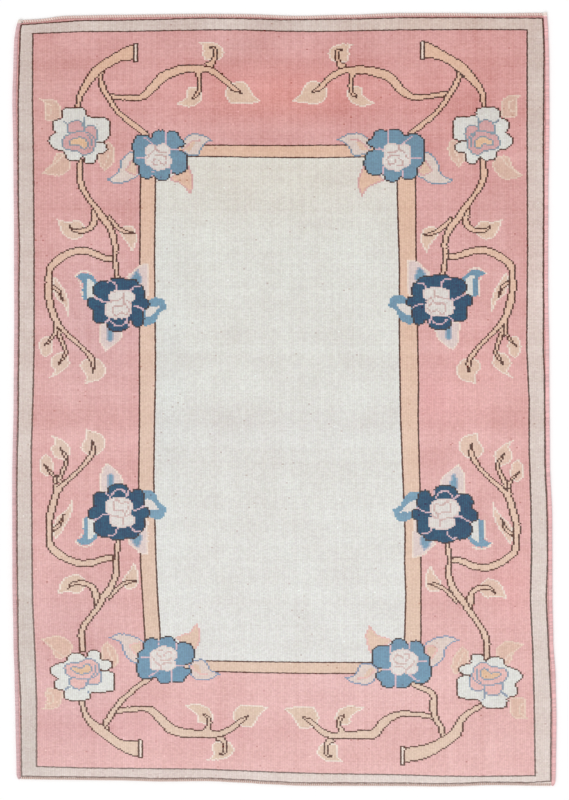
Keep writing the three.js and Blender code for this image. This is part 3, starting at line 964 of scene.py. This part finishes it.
# The wrapped edges: wool wound round the edge warps, and yarn overcast round the end webs
WRAP_SIDES = 12  # faces round a turn
YARN_SIDES = 5  # faces round the yarn
EDGE_BITE = 1.8  # mm by which a wrap reaches over the gap and the first knots
END_ROOM = 2.2  # mm from the end of an edge to the middle of its last turn
SECTION_THICKNESS = 0.02  # mm within which points of a solid belong to one section
TURN_SUNK, CORE_SUNK = 0.42, 0.5  # yarn's widths from the edge's side to a turn's middle and to the core
YARN_FLAT = 0.84  # a turn's yarn is pressed to this share of its width
TURN_SWING = 0.06  # radians by which a turn leans one way or the other
CORE_STEP = 12  # mm between the core's sections


def edge_line(node, along):
    """A wrapped edge's middle line, read from its solid: points in metres and the share of its full
    width at each. along is 0 for an edge that runs across, 1 for one that runs up. The wrap reaches
    EDGE_BITE further in than the solid, where its stitches bite into the knots."""
    points = np.array([v.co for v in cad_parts[node].data.vertices])
    given = np.unique(points[:, along].round(5))
    rows = [points[abs(points[:, along] - place) < SECTION_THICKNESS * MM] for place in given]
    ends = given[0] + END_ROOM * MM, given[-1] - END_ROOM * MM
    places = np.array([ends[0], *given[(given > ends[0]) & (given < ends[1])], ends[1]])
    low = np.interp(places, given, [r[:, 1 - along].min() for r in rows])
    high = np.interp(places, given, [r[:, 1 - along].max() for r in rows])
    if low.mean() > 0:
        low = low - EDGE_BITE * MM
    else:
        high = high + EDGE_BITE * MM
    width = np.median(high - low)
    height = points[:, 2].max()
    share = np.clip((high - low) / width, 0, 1)
    line = np.zeros((len(places), 3))
    line[:, along] = places
    line[:, 1 - along] = (low + high) / 2
    line[:, 2] = height / 2 * share
    return line, share, width, height


def wrap_tree():
    """The geometry tree that winds yarn round an edge."""
    tree = bpy.data.node_groups.new("wound_edge", "GeometryNodeTree")
    made = tree.interface.new_socket
    made("Line", in_out="INPUT", socket_type="NodeSocketGeometry")
    for name in ("Pitch", "Width", "Height", "Yarn", "Slant"):
        made(name, in_out="INPUT", socket_type="NodeSocketFloat")
    made("Seed", in_out="INPUT", socket_type="NodeSocketInt")
    made("Yarn finish", in_out="INPUT", socket_type="NodeSocketMaterial")
    made("Core finish", in_out="INPUT", socket_type="NodeSocketMaterial")
    made("Edge", in_out="OUTPUT", socket_type="NodeSocketGeometry")
    g = Graph(tree)
    given = g.add("NodeGroupInput").outputs
    line = g.add("GeometryNodeMeshToCurve", [given["Line"]])
    share = g.add("GeometryNodeInputNamedAttribute", {"Name": "share"}, data_type="FLOAT")
    turns = wound_turns(g, given, line, share)
    core = wound_core(g, given, line, share)
    joined = g.add("GeometryNodeJoinGeometry")
    g.tree.links.new(core.outputs[0], joined.inputs[0])
    g.tree.links.new(turns.outputs[0], joined.inputs[0])
    g.add("NodeGroupOutput", [joined])
    return tree


def oval(g, given, sunk):
    """An oval of the edge's size, sunk by a share of the yarn's width on every side, in the XY plane."""
    ring = g.add("GeometryNodeCurvePrimitiveCircle", {"Resolution": WRAP_SIDES, "Radius": 1.0})
    gap = g.math("MULTIPLY", given["Yarn"], sunk)
    halves = [g.math("SUBTRACT", g.math("MULTIPLY", given[name], 0.5), gap) for name in ("Width", "Height")]
    size = g.add("ShaderNodeCombineXYZ", [*halves, 1.0])
    return g.add("GeometryNodeTransform", {"Geometry": ring, "Scale": size})


def wound_turns(g, given, line, share):
    """The turns of yarn, one at each pitch along the line."""
    yarn_radius = g.math("MULTIPLY", given["Yarn"], 0.5)
    ring = oval(g, given, TURN_SUNK)
    place = g.add("GeometryNodeCaptureAttribute", {"Geometry": ring})
    place.capture_items.new("FLOAT", "around")
    g.feed(place.inputs[1], g.add("GeometryNodeSplineParameter").outputs["Factor"])
    strand = g.add("GeometryNodeCurvePrimitiveCircle", {"Resolution": YARN_SIDES, "Radius": yarn_radius})
    flat = g.add("GeometryNodeTransform", {"Geometry": strand, "Scale": (YARN_FLAT, 1.0, 1.0)})
    turn = g.add("GeometryNodeCurveToMesh", {"Curve": place, "Profile Curve": flat})
    turn = g.add("GeometryNodeStoreNamedAttribute", {"Geometry": turn, "Name": "around",
                                                    "Value": place.outputs[1]},
                 data_type="FLOAT", domain="POINT")
    stops = g.add("GeometryNodeResampleCurve", {"Curve": line, "Length": given["Pitch"]}, mode="LENGTH")
    facing = g.add("FunctionNodeAlignRotationToVector",
                   {"Vector": g.add("GeometryNodeInputTangent")}, axis="Z", pivot_axis="AUTO")
    upright = g.add("FunctionNodeAlignRotationToVector", {"Rotation": facing, "Vector": (0.0, 0.0, 1.0)},
                    axis="Y", pivot_axis="Z")
    placed = g.add("GeometryNodeInstanceOnPoints",
                   {"Points": stops, "Instance": turn, "Rotation": upright, "Scale": share})
    swing = g.add("FunctionNodeRandomValue", {"Seed": given["Seed"]}, data_type="FLOAT")
    g.feed(swing.inputs[2], -TURN_SWING)
    g.feed(swing.inputs[3], TURN_SWING)
    slant = g.add("ShaderNodeCombineXYZ", [0.0, g.math("ADD", given["Slant"], swing.outputs[1]), 0.0])
    turned = g.add("GeometryNodeRotateInstances", {"Instances": placed, "Rotation": slant,
                                                   "Local Space": True})
    shade = g.add("FunctionNodeRandomValue", {"Seed": g.math("ADD", given["Seed"], 1)}, data_type="FLOAT")
    tinted = g.add("GeometryNodeStoreNamedAttribute", {"Geometry": turned, "Name": "tint",
                                                      "Value": shade.outputs[1]},
                   data_type="FLOAT", domain="INSTANCE")
    whole = g.add("GeometryNodeRealizeInstances", [tinted])
    smooth_turns = g.add("GeometryNodeSetShadeSmooth", [whole])
    return g.add("GeometryNodeSetMaterial", {"Geometry": smooth_turns, "Material": given["Yarn finish"]})


def wound_core(g, given, line, share):
    """The bundle that the yarn is wound round."""
    stops = g.add("GeometryNodeResampleCurve", {"Curve": line, "Length": CORE_STEP * MM}, mode="LENGTH")
    level = g.add("GeometryNodeSetCurveNormal", [stops], mode="Z_UP")
    section = oval(g, given, CORE_SUNK)
    core = g.add("GeometryNodeCurveToMesh", {"Curve": level, "Profile Curve": section, "Scale": share,
                                            "Fill Caps": True})
    smooth_core = g.add("GeometryNodeSetShadeSmooth", [core])
    return g.add("GeometryNodeSetMaterial", {"Geometry": smooth_core, "Material": given["Core finish"]})


# The yarns: the two colours that each varies between, how far its plies turn in a turn of the yarn, in
# radians, and how far apart the shades of its turns lie
YARNS = {
    "side_cord_wool_left": ((220, 178, 180), (226, 200, 202), 60.0, 0.2),
    "side_cord_wool_right": ((238, 186, 188), (244, 207, 207), 60.0, 0.28),
    "upper_web": ((214, 174, 166), (220, 188, 180), 20.0, 0.0),
    "lower_web": ((186, 150, 140), (198, 164, 154), 20.0, 0.0),
    "upper_whip_yarn": ((231, 212, 204), (239, 224, 216), 60.0, 0.12),
    "lower_whip_yarn": ((221, 207, 199), (229, 217, 210), 60.0, 0.16),
}
# How far up the rug, in mm, the pale yarn of the upper end takes over from a side cord's own
WHIPPED_ABOVE = {"side_cord_wool_left": 926, "side_cord_wool_right": 944}
WHIP_PALE = (240, 226, 218)
YARN_PATCHES = 14.0, 4.0  # patches of one colour or the other: scale and detail
YARN_FLECK = 650.0, 2.0, 0.14  # scale, detail and swing
FUZZ, FUZZ_HEIGHT = (1400.0, 3.0), 0.8  # loose fibres: scale and detail, and how high they stand
PLY_HEIGHT = 0.25
YARN_RELIEF = 0.5, 0.4 * MM  # strength and depth


def solid(colour):
    """A colour given as 0 to 255, for a colour socket."""
    return *linear(colour), 1.0


def yarn_material(name):
    """Spun wool yarn wound round an edge: each turn its own shade, with fine slanting plies."""
    usual, other, twist, tint_width = YARNS[name]
    material, g, shader = wool_material(name)
    tint = g.swing(g.add("ShaderNodeAttribute", attribute_name="tint").outputs["Fac"], tint_width)
    around = g.add("ShaderNodeAttribute", attribute_name="around").outputs["Fac"]
    place = g.add("ShaderNodeTexCoord").outputs["Object"]
    wool = g.blend(g.noise(YARN_PATCHES, place), solid(usual), solid(other))
    if name in WHIPPED_ABOVE:
        along = g.add("ShaderNodeSeparateXYZ", [place]).outputs["Y"]
        wool = g.blend(g.math("GREATER_THAN", along, WHIPPED_ABOVE[name] * MM), wool, solid(WHIP_PALE))
    shade = g.total(1.0, tint, g.soft_swing(YARN_FLECK, place))
    g.feed(shader.inputs["Base Color"], g.scaled(wool, shade))
    plies = g.math("MULTIPLY", g.math("SINE", g.math("MULTIPLY", around, twist)), PLY_HEIGHT)
    g.relief(shader, g.total(plies, g.math("MULTIPLY", g.noise(FUZZ, place), FUZZ_HEIGHT)), *YARN_RELIEF)
    return material


def wound_edge(node, ending, along, tree, sizes, yarn, core, slot):
    """A wrapped edge, in place of its solid. sizes are the tree's pitch, yarn, slant and seed."""
    name = f"{node}_{ending}"
    line, share, width, height = edge_line(node, along)
    path = bpy.data.meshes.new(name + "_line")
    path.from_pydata(line.tolist(), [(i, i + 1) for i in range(len(line) - 1)], [])
    path.attributes.new("share", "FLOAT", "POINT").data.foreach_set("value", share.astype(np.float32))
    holder = bpy.data.objects.new(name + "_line", path)
    bpy.context.scene.collection.objects.link(holder)
    modifier = holder.modifiers.new("wound", "NODES")
    modifier.node_group = tree
    values = dict(zip(("Pitch", "Yarn", "Slant", "Seed"), sizes))
    values.update({"Width": float(width), "Height": float(height), "Yarn finish": yarn, "Core finish": core})
    for item in tree.interface.items_tree:
        if item.item_type == "SOCKET" and item.in_out == "INPUT" and item.name in values:
            modifier[item.identifier] = values[item.name]
    bpy.context.view_layer.update()
    shown = holder.evaluated_get(bpy.context.evaluated_depsgraph_get())
    mesh = bpy.data.meshes.new_from_object(shown)
    mesh.name = name
    bpy.data.objects.remove(holder)
    return new_piece(name, mesh, node, slot=slot)


# The wrapped edges: from one turn to the next and the yarn's width, in mm, how far the turns slant, in
# radians, the seed of their unevenness, the yarn and what it is wound round
CORDS = {
    "side_cord_left": (2.7, 2.9, 0.10, 11, "side_cord_wool_left", "side_cord_wool_left"),
    "side_cord_right": (2.7, 2.9, 0.10, 17, "side_cord_wool_right", "side_cord_wool_right"),
}
BINDINGS = {
    "end_binding_upper": (6.0, 2.8, 0.28, 31, "upper_whip_yarn", "upper_web"),
    "end_binding_lower": (5.0, 2.3, -0.28, 37, "lower_whip_yarn", "lower_web"),
}


def make_edges():
    """The two side cords and the two end bindings."""
    tree = wrap_tree()
    finishes = {name: yarn_material(name) for name in YARNS}
    kinds = (CORDS, "wrap", 1, "side_cord_wool"), (BINDINGS, "whip", 0, "whip_yarn")
    made = []
    for edges, ending, along, slot in kinds:
        for node, (pitch, width, slant, seed, yarn, core) in edges.items():
            sizes = pitch * MM, width * MM, slant, seed
            made.append(wound_edge(node, ending, along, tree, sizes, finishes[yarn], finishes[core], slot))
    return made


# The photograph's frame: its middle on the rug, in mm, and the height that it takes in
PHOTO_MIDDLE = (0.5, -0.7)
PHOTO_HEIGHT = 1966.4
LENS = 85
FILM = 36
CAMERA_REACH = 100  # m
# The stage: a floor, even light from all round, and a lamp as wide and turned by so many degrees
FLOOR_HALF = 12.0  # m from its middle to each side
FLOOR_GAP = 0.2  # mm under the rug
ROUND_LIGHT = 0.72
LAMP_LIGHT = 1.12
LAMP_WIDTH = 40
LAMP_TURN = (28, -22, 0)


def make_camera():
    """A long lens straight above the rug."""
    data = bpy.data.cameras.new("camera")
    data.lens = LENS
    data.sensor_width = FILM
    camera = bpy.data.objects.new("camera", data)
    distance = PHOTO_HEIGHT * MM * LENS / FILM
    camera.location = (PHOTO_MIDDLE[0] * MM, PHOTO_MIDDLE[1] * MM, distance + THICKNESS * MM)
    data.clip_end = CAMERA_REACH
    bpy.context.scene.collection.objects.link(camera)
    bpy.context.scene.camera = camera


def make_stage():
    """A plain pale floor under soft even light, a little of it from the upper left."""
    mesh = bpy.data.meshes.new("floor")
    corners = [(x * FLOOR_HALF, y * FLOOR_HALF, 0) for x, y in ((-1, -1), (1, -1), (1, 1), (-1, 1))]
    mesh.from_pydata(corners, [], [(0, 1, 2, 3)])
    floor = bpy.data.objects.new("floor", mesh)
    floor.location = (0, 0, -FLOOR_GAP * MM)
    bpy.context.scene.collection.objects.link(floor)
    material = bpy.data.materials.new("floor_paint")
    material.use_nodes = True
    shader = material.node_tree.nodes["Principled BSDF"]
    shader.inputs["Base Color"].default_value = (1, 1, 1, 1)
    shader.inputs["Roughness"].default_value = 0.9
    shader.inputs["Specular IOR Level"].default_value = 0.0
    mesh.materials.append(material)
    world = bpy.data.worlds.new("soft_light")
    world.use_nodes = True
    background = world.node_tree.nodes["Background"]
    background.inputs["Color"].default_value = (1, 1, 1, 1)
    background.inputs["Strength"].default_value = ROUND_LIGHT
    bpy.context.scene.world = world
    lamp = bpy.data.lights.new("key", "SUN")
    lamp.energy = LAMP_LIGHT
    lamp.angle = math.radians(LAMP_WIDTH)
    key = bpy.data.objects.new("key", lamp)
    key.rotation_euler = [math.radians(turn) for turn in LAMP_TURN]
    bpy.context.scene.collection.objects.link(key)
    bpy.context.scene.view_settings.view_transform = "Standard"


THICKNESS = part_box("knotted_panel")[1].z / MM

make_camera()
make_stage()
pile = make_pile()
edges = make_edges()
